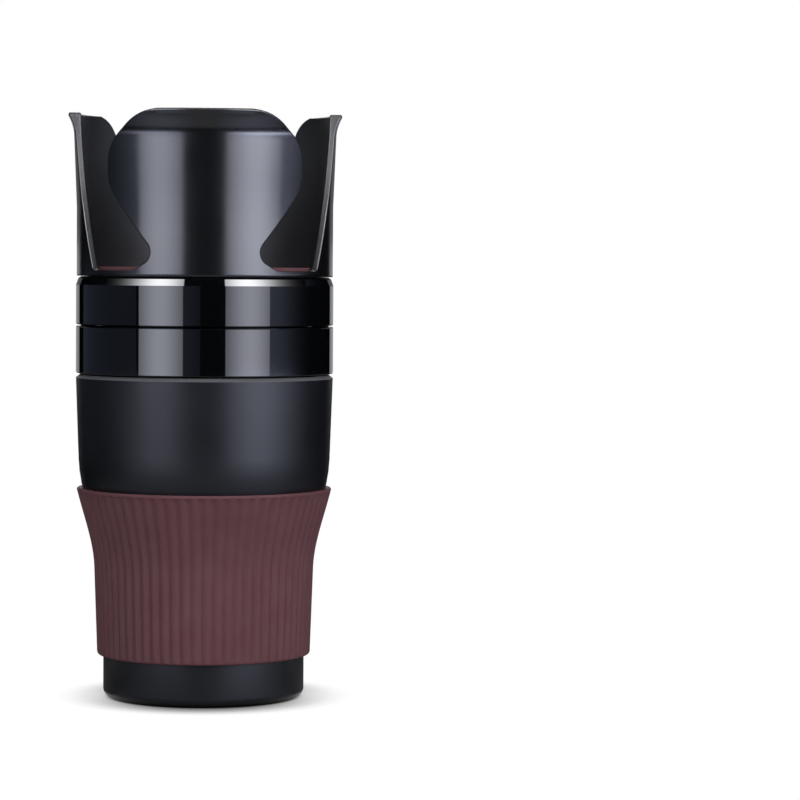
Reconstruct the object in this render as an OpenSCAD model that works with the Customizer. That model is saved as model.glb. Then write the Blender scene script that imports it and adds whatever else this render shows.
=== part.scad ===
// Stacking cup holder for a car: a base cup with a ribbed grip, two swing-out rings and a petal holder.
// All four layers turn about one upright pivot at the back (+Y). Millimetres, +Z up, origin under the base.

/* [Base cup] */
// Height of the base cup, from the foot to the rim
base_h = 113; // [90:0.1:140]
// Outer radius of the rim, and of the rings above it
rim_r = 45; // [42:0.1:52]
// Radius of the straight stub that drops into the car's own cup well
foot_r = 35.2; // [32:0.1:38]
// Height of the straight stub
foot_h = 14; // [8:0.1:20]
// Corner radius under the stub
foot_corner_r = 3; // [1:0.1:5]
// Wall of the base cup
cup_wall = 2.4; // [1.6:0.1:3.2]
// Floor of the base cup
cup_floor = 3; // [2:0.1:6]
// Radius of the shallow recess under the floor
foot_recess_r = 27; // [15:0.5:29]
// Depth of the shallow recess under the floor
foot_recess_d = 0.8; // [0.3:0.1:1.2]
// Outward lean of the wall, in millimetres for each millimetre of height
wall_draft = 0.035; // [0:0.005:0.05]
// Height where the wall starts to swell
swell_z = 45.5; // [30:0.5:50]
// Height over which the wall swells
swell_h = 37.5; // [25:0.5:40]
// Height of the bevel round the rim
rim_bevel_h = 1.1; // [0.4:0.1:1.4]
// Inset of the bevel round the rim
rim_bevel_in = 1.4; // [0.4:0.1:1.5]

/* [Grip sleeve] */
// Height of the sleeve's lower edge
grip_z = 14.9; // [14:0.1:20]
// Height of the sleeve
grip_h = 58.4; // [40:0.1:62]
// Thickness of the sleeve over a rib
grip_t = 2.1; // [1.6:0.1:3]
// Height of a rib over the groove beside it
rib_h = 0.7; // [0.3:0.1:1]
// Number of ribs round the sleeve
rib_count = 64; // [40:1:72]
// Height of the plain band under the sleeve's upper edge
grip_band_h = 1.1; // [0.6:0.1:2]
// Rounding of the sleeve's lower edge
grip_edge_r = 0.9; // [0.4:0.1:1.2]
// Gap between the sleeve and the cup
grip_clear = 0.05; // [0.02:0.01:0.2]

/* [Rings] */
// Height of each ring
ring_h = 16.4; // [12:0.1:24]
// Width of a ring's thin side, in front
ring_thin_w = 3.2; // [2.6:0.1:5]
// Width of a ring's thick side, round the pivot
ring_thick_w = 14; // [13.5:0.1:18]
// Roof over the hollow in the thick side of a ring
ring_roof = 2.4; // [1.6:0.1:4]
// Wall round the hollow in the thick side of a ring
ring_wall = 2.4; // [1.6:0.1:2.6]
// Edge break of the rings
ring_edge = 0.35; // [0.1:0.05:0.6]
// Height of the bevel round the upper ring's top
bevel_h = 2.6; // [1:0.1:4]
// Inset of the bevel round the upper ring's top
bevel_in = 0.8; // [0.3:0.1:1]

// Width of the raised track round each ring's top, which shuts the seam over it to light and dust
track_w = 1.3; // [0.8:0.1:1.4]
// Inset of the track from the outside of the ring
track_in = 1.4; // [1:0.1:1.6]
// Gap over the track
track_clear = 0.12; // [0.08:0.01:0.2]

/* [Petal holder] */
// Height of the holder
holder_h = 56.7; // [52:0.1:64]
// Inset of the holder's straight lower wall from the rings under it
holder_in = 0.25; // [0:0.05:0.8]
// Wall of the petals
petal_wall = 2.2; // [1.6:0.1:2.4]
// Floor of the holder
holder_floor = 1.8; // [1.6:0.1:2.2]
// Height where the petals start to lean out
lean_z = 24; // [15:0.5:35]
// Outward lean of the petals below the lip
lean_out = 0.95; // [0:0.05:2]
// Height of the lip at the petals' tips
lip_h = 8.4; // [5:0.1:10]
// Outward flare of the lip
lip_out = 2.1; // [0.5:0.1:3]
// Rounding of the lip's top edge
lip_edge_r = 0.9; // [0.3:0.1:1]
// Height of the sill at the foot of the front openings
sill_h = 2; // [1.9:0.1:4]
// Direction in which the wide petal's edges are cut, from straight ahead
petal_cut_turn = 38; // [36:0.5:40]
// Direction in which the side petals' front edges are cut, from straight ahead
side_cut_turn = 70; // [68:0.5:72]
// Direction of the back openings, from straight behind
back_slot_turn = 34.5; // [33:0.5:36]
// Depth of the back openings, from the petals' tips
back_slot_h = 28.7; // [22:0.1:34]

/* [Floor pad] */
// Thickness of the pad on the holder's floor
pad_t = 1.4; // [1:0.1:2.5]
// Gap between the pad and the petals
pad_clear = 1.2; // [1.2:0.1:3]
// Rounding of the pad's upper edge
pad_edge_r = 0.5; // [0.2:0.1:0.7]

/* [Pivot] */
// Distance of the pivot from the outside of the rings
pivot_in = 7.4; // [7.2:0.1:7.8]
// Radius of the bush that the layers turn on
bush_r = 3; // [2.8:0.1:3.4]
// Radial gap between the bush and each layer
bush_clear = 0.05; // [0.02:0.01:0.1]
// Gap between the bush's head and the holder's wall
bush_head_gap = 0.55; // [0.4:0.05:0.8]
// Thickness of the bush's head
bush_head_t = 0.7; // [0.5:0.05:0.8]
// Depth to which the bush sits in the cup's boss
bush_seat = 1.5; // [1:0.1:3]
// Radius of the screw's shank
screw_r = 1.5; // [1.3:0.1:1.6]
// Radius of the screw's head
screw_head_r = 2.9; // [2.6:0.1:3.1]
// Gap round the screw in its holes
screw_clear = 0.15; // [0.1:0.05:0.3]
// How far the screw stands out of its nut
screw_tail = 0.95; // [0.5:0.05:3]
// Width of the key socket in the screw's head
key_w = 2; // [1.5:0.1:2.2]
// Depth of the key socket
key_d = 1; // [0.6:0.1:1.1]
// Radius of the bosses round the pivot
boss_r = 6; // [5.6:0.1:6.2]
// Depth of the boss inside the base cup
boss_h = 13; // [10:0.1:18]
// Width of the nut across its flats
nut_w = 5.5; // [5:0.1:6]
// Height of the nut
nut_h = 2.4; // [1.8:0.1:3]
// Gap round the nut in its pocket
nut_clear = 0.12; // [0.08:0.01:0.2]
// Depth of the nut below the mouth of its pocket
nut_inset = 0.6; // [0.3:0.1:1]
// Thickness of the lock washer over the nut
lock_t = 0.7; // [0.5:0.1:1]
// Gap between one layer and the next
layer_gap = 0.5; // [0.3:0.05:0.8]
// Outer radius of the slip washers between the layers
slip_r = 4.5; // [4.2:0.1:4.6]
// Free play over and under each slip washer
slip_play = 0.05; // [0.03:0.01:0.1]

/* [Hidden] */
$fn = 144;

// How far a cut reaches past what it cuts
over = 1;

// Heights of the layers
lower_z = base_h + layer_gap;
upper_z = lower_z + ring_h + layer_gap;
holder_z = upper_z + ring_h + layer_gap;
grip_top = grip_z + grip_h;

// Profile of the base cup
profile_steps = 24;
swell_out = rim_r - foot_r - wall_draft * (base_h - foot_h);
cup_corner_r = 2;
mouth_chamfer = 0.5;

// Off-centre hole of the rings
ring_hole_r = rim_r - (ring_thin_w + ring_thick_w) / 2;
ring_hole_shift = (ring_thick_w - ring_thin_w) / 2;
track_r = rim_r - track_in;
track_top = ring_h + layer_gap - track_clear;
track_h = layer_gap - track_clear;

// Profile of the holder
holder_r = rim_r - holder_in;
holder_inner_r = holder_r - petal_wall;
lip_z = holder_h - lip_h;
lip_r = holder_r + lean_out;
floor_corner_r = 0.9;
bottom_edge = 0.15;
edge_steps = 4;
lip_steps = 5;
middle_h = (sill_h + holder_h) / 2;
back_slot_z = holder_h - back_slot_h;
// Directions between which a front opening is clear from the sill up, from straight ahead
gap_turns = [46, 56];
// How far the openings reach out past the rings
cut_reach = 20;

// Pivot stack
pivot_y = rim_r - pivot_in;
bush_seat_z = base_h - bush_seat;
bush_head_z = holder_z + holder_floor - bush_head_t - slip_play;
bush_top = bush_head_z + bush_head_t;
bush_head_r = holder_inner_r - pivot_y - bush_head_gap;
head_recess_r = bush_head_r + 2 * bush_clear;
head_recess_d = bush_head_t + 2 * slip_play;
hole_r = bush_r + bush_clear;
screw_hole_r = screw_r + screw_clear;
nut_pocket_h = nut_inset + nut_h + slip_play + lock_t;
nut_pocket_z = base_h - boss_h;
lock_z = nut_pocket_z + nut_pocket_h - lock_t;
lock_r = nut_w / 2 - 0.1;
nut_z = nut_pocket_z + nut_inset;
thread_gap = 0.02;
screw_end_z = nut_z - screw_tail;
head_cone_h = screw_head_r - screw_r;
hex_turn = 30;
arc_steps = 10;

// Rise from 0 to 1 with level ends
function ease(t) = let (u = min(max(t, 0), 1)) u * u * (3 - 2 * u);

// Outer radius of the base cup at a height
function cup_r(z) = z <= foot_h ? foot_r
    : foot_r + wall_draft * (z - foot_h) + swell_out * ease((z - swell_z) / swell_h);

function unit(v) = v / norm(v);

// Points of an arc, from one direction to another
function arc(centre, r, from, to, steps = arc_steps) = [for (i = [0:steps])
    let (a = from + (to - from) * i / steps)
    centre + r * [cos(a), sin(a)]];

// Arc that rounds the corner b between a and c
function corner(a, b, c, r) =
    let (u = unit(a - b), v = unit(c - b), half = acos(u * v) / 2)
    let (centre = b + unit(u + v) * r / sin(half), start = b + u * r / tan(half))
    let (from = atan2(start[1] - centre[1], start[0] - centre[0]))
    arc(centre, r, from, from - sign(cross(u, v)) * (180 - 2 * half));

// Outline through corners given as [across, up, rounding]
function rounded(points) = let (n = len(points))
    [for (i = [0:n - 1])
        let (a = points[(i + n - 1) % n], b = points[i], c = points[(i + 1) % n])
        each b[2] > 0 ? corner([a[0], a[1]], [b[0], b[1]], [c[0], c[1]], b[2]) : [[b[0], b[1]]]];

// Height to which the outlines below are carried, clear over the petals' tips
cut_top = holder_h + 6;

// Front opening beside the wide petal, seen along its own direction: shoulder, bulge, throat and sill
petal_edge = [
    [22.5, holder_h + 0.2, 0],
    [7.6, holder_h, 25],
    [-7.3, holder_h - 12.4, 14],
    [-7.3, holder_h - 26.2, 12],
    [12.1, sill_h + 5.2, 4.4],
    [3.7, sill_h, 3],
    [-16, sill_h, 0],
    [-16, cut_top, 0],
    [22.5, cut_top, 0]];

// Rest of the front opening, up to the side petal's slanting edge
side_edge = [
    [14, sill_h, 0],
    [8.5, sill_h, 2],
    [-1.9, middle_h - 1.35, 80],
    [-10.4, cut_top, 0],
    [14, cut_top, 0]];

// Back opening, seen along its own direction: a slanting slot with a round lower end
back_slot = [
    [26, holder_h + 0.3, 0],
    [11.2, holder_h, 11.5],
    [3.8, back_slot_z, 4.5],
    [-6.4, back_slot_z, 4.5],
    [-5, back_slot_z + 10.7, 6],
    [3.6, holder_h, 3.6],
    [-6, holder_h + 0.3, 0],
    [-6, cut_top, 0],
    [26, cut_top, 0]];

// Upright cylinder or cone round the pivot
module at_pivot(z, h, r, r_top = -1) {
    translate([0, pivot_y, z])
        cylinder(h = h, r1 = r, r2 = r_top < 0 ? r : r_top);
}

// Flat ring round the pivot
module pivot_ring(z, h, outer, inner) {
    difference() {
        at_pivot(z, h, outer);
        at_pivot(z - over, h + 2 * over, inner);
    }
}

// Hexagonal prism round the pivot, by its width across the flats
module pivot_hex(z, h, w) {
    translate([0, pivot_y, z])
        rotate([0, 0, hex_turn])
            cylinder(h = h, r = w / 2 / cos(30), $fn = 6);
}

module cup_outside() {
    rotate_extrude()
        polygon(concat([[0, 0]],
            arc([foot_r - foot_corner_r, foot_corner_r], foot_corner_r, -90, 0),
            [for (i = [0:profile_steps])
                let (z = foot_h + (base_h - rim_bevel_h - foot_h) * i / profile_steps) [cup_r(z), z]],
            [[rim_r - rim_bevel_in, base_h], [0, base_h]]));
}

module cup_inside() {
    low_r = foot_r - cup_wall;
    mouth_r = rim_r - cup_wall + mouth_chamfer;
    rotate_extrude()
        polygon(concat([[0, cup_floor]],
            arc([low_r - cup_corner_r, cup_floor + cup_corner_r], cup_corner_r, -90, 0),
            [for (i = [0:profile_steps])
                let (z = foot_h + (base_h - mouth_chamfer - foot_h) * i / profile_steps) [cup_r(z) - cup_wall, z]],
            [[mouth_r, base_h], [mouth_r, base_h + over], [0, base_h + over]]));
}

module base_cup() {
    color("#202225")
        difference() {
            cup_outside();
            difference() {
                cup_inside();
                at_pivot(nut_pocket_z, boss_h + 2 * over, boss_r);
            }
            translate([0, 0, -over])
                cylinder(h = foot_recess_d + over, r = foot_recess_r);
            at_pivot(bush_seat_z, bush_seat + over, hole_r);
            at_pivot(nut_pocket_z - over, boss_h + 2 * over, screw_hole_r);
            pivot_hex(nut_pocket_z - over, nut_pocket_h + over, nut_w + 2 * nut_clear);
        }
}

// One round of points on the sleeve's outside: each rib is a crest and two points in the groove beside it
function grip_round(z, inset, ribbed) = [for (i = [0:rib_count - 1], j = [0:2])
    let (turn = 360 * (i + j / 3) / rib_count - 90)
    let (r = cup_r(z) + grip_t - inset - (ribbed && j > 0 ? rib_h : 0))
    [r * cos(turn), r * sin(turn), z]];

// One round of points on the sleeve's inside, clear of the cup all the way round
function bore_round(z) = [for (i = [0:3 * rib_count - 1])
    let (turn = 120 * i / rib_count - 90, r = (cup_r(z) + grip_clear) / cos(60 / rib_count))
    [r * cos(turn), r * sin(turn), z]];

module grip_sleeve() {
    steps = 9;
    low_z = grip_z + grip_edge_r;
    band_z = grip_top - grip_band_h;
    rounds = concat(
        [grip_round(grip_z, grip_edge_r, false)],
        [for (i = [0:steps - 1]) grip_round(low_z + (band_z - low_z) * i / steps, 0, true)],
        [grip_round(band_z - rib_h, 0, true), grip_round(band_z, 0, false), grip_round(grip_top, 0, false)],
        [for (i = [steps:-1:0]) bore_round(grip_z + grip_h * i / steps)]);
    n = 3 * rib_count;
    m = len(rounds);
    faces = [for (k = [0:m - 1], i = [0:n - 1])
        let (a = k * n, b = (k + 1) % m * n, next = (i + 1) % n)
        each [[a + i, b + i, b + next], [a + i, b + next, a + next]]];
    color("#5c3e40")
        polyhedron(points = [for (r = rounds) each r], faces = faces, convexity = 6);
}

// Disc of a ring layer with its track, given the outline of its upper edge
module ring_disc(z, top) {
    translate([0, 0, z])
        rotate_extrude()
            polygon(concat([[0, 0], [rim_r - ring_edge, 0], [rim_r, ring_edge]], top,
                [[track_r, ring_h], [track_r - track_h, track_top],
                [track_r - track_w, track_top], [track_r - track_w, ring_h], [0, ring_h]]));
}

// Hollow under the thick side of a ring, split by the boss round the pivot
module ring_hollow(z) {
    translate([0, 0, z - over])
        linear_extrude(ring_h - ring_roof + over)
            difference() {
                circle(rim_r - ring_wall);
                translate([0, -ring_hole_shift])
                    circle(ring_hole_r + ring_wall);
                translate([0, pivot_y])
                    circle(boss_r);
            }
}

module ring_layer(z, top) {
    color("#0c0d10")
        difference() {
            ring_disc(z, top);
            translate([0, -ring_hole_shift, z - over])
                cylinder(h = ring_h + 2 * over, r = ring_hole_r);
            ring_hollow(z);
            at_pivot(z - over, ring_h + 2 * over, hole_r);
        }
}

module lower_ring() {
    ring_layer(lower_z, [[rim_r, ring_h - ring_edge], [rim_r - ring_edge, ring_h]]);
}

module upper_ring() {
    bevel_r = rim_r - bevel_in;
    ring_layer(upper_z, [[rim_r, ring_h - bevel_h], [bevel_r, ring_h - ring_edge], [bevel_r - ring_edge, ring_h]]);
}

module holder_shell() {
    tip_r = lip_r + lip_out;
    tip_z = holder_h - lip_edge_r;
    rotate_extrude()
        polygon(concat([[0, 0], [holder_r - bottom_edge, 0], [holder_r, bottom_edge], [holder_r, lean_z]],
            [for (i = [0:lip_steps - 1]) let (t = i / lip_steps)
                [lip_r + lip_out * t * t, lip_z + (tip_z - lip_z) * t]],
            arc([tip_r - lip_edge_r, tip_z], lip_edge_r, 0, 90, edge_steps),
            arc([lip_r - petal_wall + lip_edge_r, tip_z], lip_edge_r, 90, 180, edge_steps),
            [[lip_r - petal_wall, lip_z], [holder_inner_r, lean_z]],
            arc([holder_inner_r - floor_corner_r, holder_floor + floor_corner_r], floor_corner_r, 0, -90, edge_steps),
            [[0, holder_floor]]));
}

// Opening through the wall, along a direction measured round from +X
module wall_cut(turn, outline) {
    rotate([0, 0, turn + 90])
        rotate([90, 0, 0])
            linear_extrude(rim_r + cut_reach)
                polygon(rounded(outline));
}

// Opening between two directions, measured round from straight ahead
module gap_wedge() {
    translate([0, 0, sill_h])
        linear_extrude(cut_top - sill_h)
            polygon(concat([[0, 0]],
                [for (turn = gap_turns) (rim_r + cut_reach) * [cos(270 - turn), sin(270 - turn)]]));
}

module holder_cuts() {
    gap_wedge();
    wall_cut(270 - petal_cut_turn, petal_edge);
    wall_cut(270 - side_cut_turn, side_edge);
    wall_cut(90 + back_slot_turn, back_slot);
}

module top_holder() {
    color("#26272b")
        difference() {
            translate([0, 0, holder_z])
                difference() {
                    holder_shell();
                    holder_cuts();
                    mirror([1, 0, 0]) holder_cuts();
                }
            at_pivot(holder_z - over, holder_floor + 2 * over, hole_r);
            at_pivot(holder_z + holder_floor - head_recess_d, head_recess_d + over, head_recess_r);
        }
}

module holder_pad() {
    pad_r = holder_inner_r - pad_clear;
    color("#63413f")
        translate([0, 0, holder_z + holder_floor])
            rotate_extrude()
                polygon(concat([[0, 0], [pad_r, 0]],
                    arc([pad_r - pad_edge_r, pad_t - pad_edge_r], pad_edge_r, 0, 90, edge_steps),
                    [[0, pad_t]]));
}

module pivot_bush() {
    color("silver")
        difference() {
            union() {
                at_pivot(bush_seat_z, bush_top - bush_seat_z, bush_r);
                at_pivot(bush_head_z, bush_head_t, bush_head_r);
            }
            at_pivot(bush_seat_z - over, bush_top - bush_seat_z + 2 * over, screw_hole_r);
            // Countersink that the screw's head sits in
            at_pivot(bush_top - head_cone_h, head_cone_h + over, screw_r + thread_gap, screw_head_r + over + thread_gap);
        }
}

module pivot_screw() {
    color("dimgray")
        difference() {
            union() {
                at_pivot(screw_end_z, bush_top - screw_end_z, screw_r);
                at_pivot(bush_top - head_cone_h, head_cone_h, screw_r, screw_head_r);
            }
            pivot_hex(bush_top - key_d, key_d + over, key_w);
        }
}

module pivot_nut() {
    color("silver")
        difference() {
            pivot_hex(nut_z, nut_h, nut_w);
            at_pivot(nut_z - over, nut_h + 2 * over, screw_r + thread_gap);
        }
}

module lock_washer() {
    color("gray") pivot_ring(lock_z, lock_t, lock_r, screw_hole_r);
}

// Slip washer in the gap under a layer
module slip_washer(layer_z) {
    color("ivory")
        pivot_ring(layer_z - layer_gap + slip_play, layer_gap - 2 * slip_play, slip_r, hole_r + bush_clear);
}

module lower_slip_washer() {
    slip_washer(lower_z);
}

module middle_slip_washer() {
    slip_washer(upper_z);
}

module upper_slip_washer() {
    slip_washer(holder_z);
}

base_cup();
grip_sleeve();
lower_ring();
upper_ring();
top_holder();
holder_pad();
pivot_bush();
pivot_screw();
pivot_nut();
lock_washer();
lower_slip_washer();
middle_slip_washer();
upper_slip_washer();
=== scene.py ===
"""Looks, light and camera for a stacking car cup holder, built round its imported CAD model.

The column is a matte base cup in a ribbed silicone sleeve, two gloss swing-out rings and a satin
holder with four petals. Lengths in the classes are millimetres unless they say metres, and the
meshes are metres in the CAD frame.
"""

from __future__ import annotations

import logging
import math
from dataclasses import dataclass
from enum import Enum
from typing import ClassVar

import bmesh
import bpy
import numpy as np
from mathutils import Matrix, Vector
from mathutils.geometry import delaunay_2d_cdt

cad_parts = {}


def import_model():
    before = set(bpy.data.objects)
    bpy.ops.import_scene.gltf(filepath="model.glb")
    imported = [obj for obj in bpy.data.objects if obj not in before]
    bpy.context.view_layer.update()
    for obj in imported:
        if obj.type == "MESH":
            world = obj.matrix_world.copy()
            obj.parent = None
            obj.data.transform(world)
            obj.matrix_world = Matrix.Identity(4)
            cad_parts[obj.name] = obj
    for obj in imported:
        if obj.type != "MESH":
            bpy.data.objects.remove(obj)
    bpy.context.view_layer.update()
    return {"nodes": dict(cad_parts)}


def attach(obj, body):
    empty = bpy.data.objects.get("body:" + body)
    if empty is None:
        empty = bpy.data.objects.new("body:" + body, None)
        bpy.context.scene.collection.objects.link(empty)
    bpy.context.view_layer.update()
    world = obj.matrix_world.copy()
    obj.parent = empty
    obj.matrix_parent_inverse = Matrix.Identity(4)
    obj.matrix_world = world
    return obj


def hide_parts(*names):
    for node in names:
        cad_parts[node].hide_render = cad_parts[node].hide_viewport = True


log = logging.getLogger("cup_holder")

MM = 0.001
WELD = 1e-6  # metres within which two points are one
EDGE_STEPS = 4  # pieces of a rounded edge
EDGE_DEG = 90 / EDGE_STEPS  # turn of one of them

Tree = bpy.types.NodeTree
Node = bpy.types.Node
Socket = bpy.types.NodeSocket
Material = bpy.types.Material
Mesh = bpy.types.Mesh
Piece = bpy.types.Object
EditMesh = bmesh.types.BMesh
Vert = bmesh.types.BMVert
Point = tuple[float, float]
Space = tuple[float, float, float]


class Grain(Enum):
    """How a mould left a plastic surface."""

    POLISHED = "polished"
    SATIN = "satin"
    SPARK = "spark eroded"


# Nodes and finishes


def linear(code: str) -> tuple[float, float, float, float]:
    """Turns an sRGB hex colour into linear light.

    Args:
        code: Six hex digits after a hash sign.

    Returns:
        Linear red, green, blue and an alpha of 1.
    """
    shades = [int(code[i : i + 2], 16) / 255 for i in (1, 3, 5)]
    red, green, blue = [
        c / 12.92 if c <= 0.04045 else ((c + 0.055) / 1.055) ** 2.4 for c in shades
    ]
    return red, green, blue, 1.0


def add(
    tree: Tree, kind: str, sockets: dict | None = None, links: dict | None = None, **settings: object
) -> Node:
    """Adds a node with its settings, socket values and incoming links.

    Args:
        tree: Node tree that gets the node.
        kind: Blender's name of the node type.
        sockets: Values by input name or number.
        links: Output, or node for its first output, by input name or number.
        **settings: Properties of the node itself.

    Returns:
        The new node.
    """
    node = tree.nodes.new(kind)
    for name, value in settings.items():
        setattr(node, name, value)
    for key, value in (sockets or {}).items():
        node.inputs[key].default_value = value
    for key, source in (links or {}).items():
        output = source.outputs[0] if isinstance(source, Node) else source
        tree.links.new(output, node.inputs[key])
    return node


def blank(name: str) -> tuple[Material, Tree]:
    """Makes a material that has no nodes yet.

    Args:
        name: Its name.

    Returns:
        The material and its node tree.
    """
    made = bpy.data.materials.new(name)
    made.use_nodes = True
    made.node_tree.nodes.clear()
    return made, made.node_tree


def grains(size_mm: float, detail: float) -> dict[str, float]:
    """Settings of soft noise with grains of a real size and octaves of finer ones."""
    return {"Scale": 1 / (size_mm * MM), "Detail": detail, "Roughness": 0.55}


@dataclass
class Skin:
    """Nodes of a material in the making.

    Attributes:
        tree: Its node tree.
        shader: Its Principled shader.
        place: Object coordinates.
    """

    tree: Tree
    shader: Node
    place: Socket

    # Soft noise seldom leaves this range
    NOISE_ENDS: ClassVar[Point] = (0.3, 0.7)

    def feed(self, name: str, source: Socket) -> None:
        """Links an output to one of the shader's inputs."""
        self.tree.links.new(source, self.shader.inputs[name])

    def uneven(self, noise: dict[str, float], ends: Point) -> Socket:
        """Makes a value that varies over the surface.

        Args:
            noise: Settings of the noise that it follows.
            ends: Its least and its greatest value.

        Returns:
            Output with the value.
        """
        cloud = add(self.tree, "ShaderNodeTexNoise", noise, {"Vector": self.place})
        spans = {"From Min": self.NOISE_ENDS[0], "From Max": self.NOISE_ENDS[1]}
        spans |= {"To Min": ends[0], "To Max": ends[1]}
        return add(self.tree, "ShaderNodeMapRange", spans, {"Value": cloud}).outputs[0]

    def gloss(self, noise: dict[str, float], mean: float, spread: float) -> None:
        """Varies the roughness over the surface by a spread to both sides of its mean."""
        self.feed("Roughness", self.uneven(noise, (mean - spread, mean + spread)))

    def relief(self, noise: dict[str, float], strength: float, height_mm: float) -> None:
        """Raises grain on the surface.

        Args:
            noise: Settings of the noise that it follows.
            strength: How strongly it shows.
            height_mm: Its height.
        """
        cloud = add(self.tree, "ShaderNodeTexNoise", noise, {"Vector": self.place})
        size = {"Strength": strength, "Distance": height_mm * MM}
        self.feed("Normal", add(self.tree, "ShaderNodeBump", size, {"Height": cloud}).outputs[0])

    def tint(self, share: Socket, first: str, second: str) -> None:
        """Mixes the body colour.

        Args:
            share: How much of the second colour shows.
            first: First colour, sRGB hex.
            second: Second colour, sRGB hex.
        """
        # Inputs 6 and 7 and output 2 are the node's colours
        pair = {6: linear(first), 7: linear(second)}
        mixed = add(self.tree, "ShaderNodeMix", pair, {0: share}, data_type="RGBA")
        self.feed("Base Color", mixed.outputs[2])


@dataclass(frozen=True)
class Finish:
    """What every finish of this object has.

    Attributes:
        name: Name of the real material and process.
        colour: Body colour, sRGB hex.
        roughness: Mean roughness.
        ior: Index of refraction.
        metallic: 1 for bare metal.
    """

    name: str
    colour: str
    roughness: float
    ior: float = 1.5
    metallic: float = 0.0

    def build(self) -> Material:
        """Makes the Blender material.

        Returns:
            Material with its surface and relief.
        """
        made, tree = blank(self.name)
        place = add(tree, "ShaderNodeTexCoord").outputs["Object"]
        body = {"Roughness": self.roughness, "IOR": self.ior, "Metallic": self.metallic}
        body["Base Color"] = linear(self.colour)
        shader = add(tree, "ShaderNodeBsdfPrincipled", body)
        self.dress(Skin(tree, shader, place))
        add(tree, "ShaderNodeOutputMaterial", links={"Surface": shader})
        made.diffuse_color = linear(self.colour)
        return made

    def dress(self, skin: Skin) -> None:
        """Adds the finish's own pattern; a plain finish has none.

        Args:
            skin: Nodes of the material.
        """


@dataclass(frozen=True)
class MouldedPlastic(Finish):
    """Injection moulded plastic: the mould's grain sets how soft its highlights are.

    Attributes:
        grain: How the mould was finished.
        grain_mm: Size of one grain.
        relief_mm: Height of the grain.
        spread: Change of roughness over the surface.
        rim_highlight: Paler colour painted on the rim as a highlight where it catches light from
            above, sRGB hex, or nothing.
        rim_highlight_mm: Height at which the painted rim highlight starts.
        rim_highlight_blur: Half the height over which it fades in.
        blotch_mm: Size of the patches in which the roughness changes.
    """

    grain: Grain = Grain.SPARK
    grain_mm: float = 0.4
    relief_mm: float = 0.01
    spread: float = 0.03
    rim_highlight: str = ""
    rim_highlight_mm: float = 0.0
    rim_highlight_blur: float = 0.1
    blotch_mm: float = 18.0

    def dress(self, skin: Skin) -> None:
        """Adds grain, its slight change of gloss and, where it has one, the painted highlight on the
        rim.

        Args:
            skin: Nodes of the material.
        """
        skin.gloss(grains(self.blotch_mm, 3.0), self.roughness, self.spread)
        detail = 1.0 if self.grain is Grain.POLISHED else 4.0
        skin.relief(grains(self.grain_mm, detail), 1.0, self.relief_mm)
        # Painted highlight: above a height the colour turns paler, for the light that the rim
        # catches from above
        if self.rim_highlight:
            up = add(skin.tree, "ShaderNodeSeparateXYZ", links={0: skin.place}).outputs["Z"]
            start, blur = self.rim_highlight_mm * MM, self.rim_highlight_blur * MM
            fade = {"From Min": start - blur, "From Max": start + blur}
            share = add(skin.tree, "ShaderNodeMapRange", fade, {"Value": up}).outputs[0]
            skin.tint(share, self.colour, self.rim_highlight)


@dataclass(frozen=True)
class Silicone(Finish):
    """Moulded silicone rubber: matte, a little dusty, lighter where its bloom lies.

    Attributes:
        pale: Colour of the thin bloom, sRGB hex.
        bloom_mm: Size of its patches.
        bloom_share: How much of it shows at most.
        grain_mm: Size of the skin's grain, drawn coarser than the real one so that it shows.
        relief_mm: Height of that grain.
    """

    pale: str = "#5d4447"
    bloom_mm: float = 9.0
    bloom_share: float = 0.22
    grain_mm: float = 0.5
    relief_mm: float = 0.02

    def dress(self, skin: Skin) -> None:
        """Adds the bloom and the skin's grain.

        Args:
            skin: Nodes of the material.
        """
        bloom = skin.uneven(grains(self.bloom_mm, 5.0), (0.0, self.bloom_share))
        skin.tint(bloom, self.colour, self.pale)
        skin.relief(grains(self.grain_mm, 3.0), 0.6, self.relief_mm)


@dataclass(frozen=True)
class ZincPlate(Finish):
    """Zinc-plated steel: bare metal with fine, uneven brightness.

    Attributes:
        patch_mm: Size of the patches in which the roughness changes.
        spread: Change of roughness from patch to patch.
    """

    patch_mm: float = 1.5
    spread: float = 0.08

    def dress(self, skin: Skin) -> None:
        """Varies the roughness in patches.

        Args:
            skin: Nodes of the material.
        """
        skin.gloss(grains(self.patch_mm, 3.0), self.roughness, self.spread)


# Spark-eroded mould: no clear reflection, only broad grey light; a paler band painted on the rim
# stands in for the highlight where it catches light from above
CUP_ABS = MouldedPlastic(
    "ABS_spark_eroded_black", "#0e0f13", 0.33, 1.32, rim_highlight="#5a5b5e", rim_highlight_mm=111.85
)
# Polished mould: mirror-like stripes, black between them
RING_ABS = MouldedPlastic(
    "ABS_polished_black", "#050608", 0.035, 1.58, 0.0, Grain.POLISHED, 14.0, 0.004, 0.008
)
# Finely blasted mould: stripes with soft edges
HOLDER_ABS = MouldedPlastic(
    "ABS_satin_black", "#0a0b0d", 0.175, 1.54, 0.0, Grain.SATIN, 0.5, 0.004, 0.02
)
# The same moulding where its mould is left duller: inside, and round the cut edges
HOLDER_DULL_ABS = MouldedPlastic(
    "ABS_fine_spark_black", "#121316", 0.4, 1.54, 0.0, Grain.SPARK, 0.5, 0.006, 0.03
)
# Liquid silicone pressed in a blasted mould: dull and dry to the eye
SLEEVE_SILICONE = Silicone("silicone_rubber_brown", "#4c2c30", 0.62, 1.25)
# Bright zinc over turned steel
STEEL_ZINC = ZincPlate("steel_zinc_plated", "#b4b6b8", 0.32, 1.5, 1.0)
# Natural acetal punched from sheet: waxy off-white
WASHER_ACETAL = MouldedPlastic(
    "acetal_punched_natural", "#e4e0d6", 0.4, 1.48, 0.0, Grain.SATIN, 0.6, 0.004, 0.03
)


# Meshes


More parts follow.
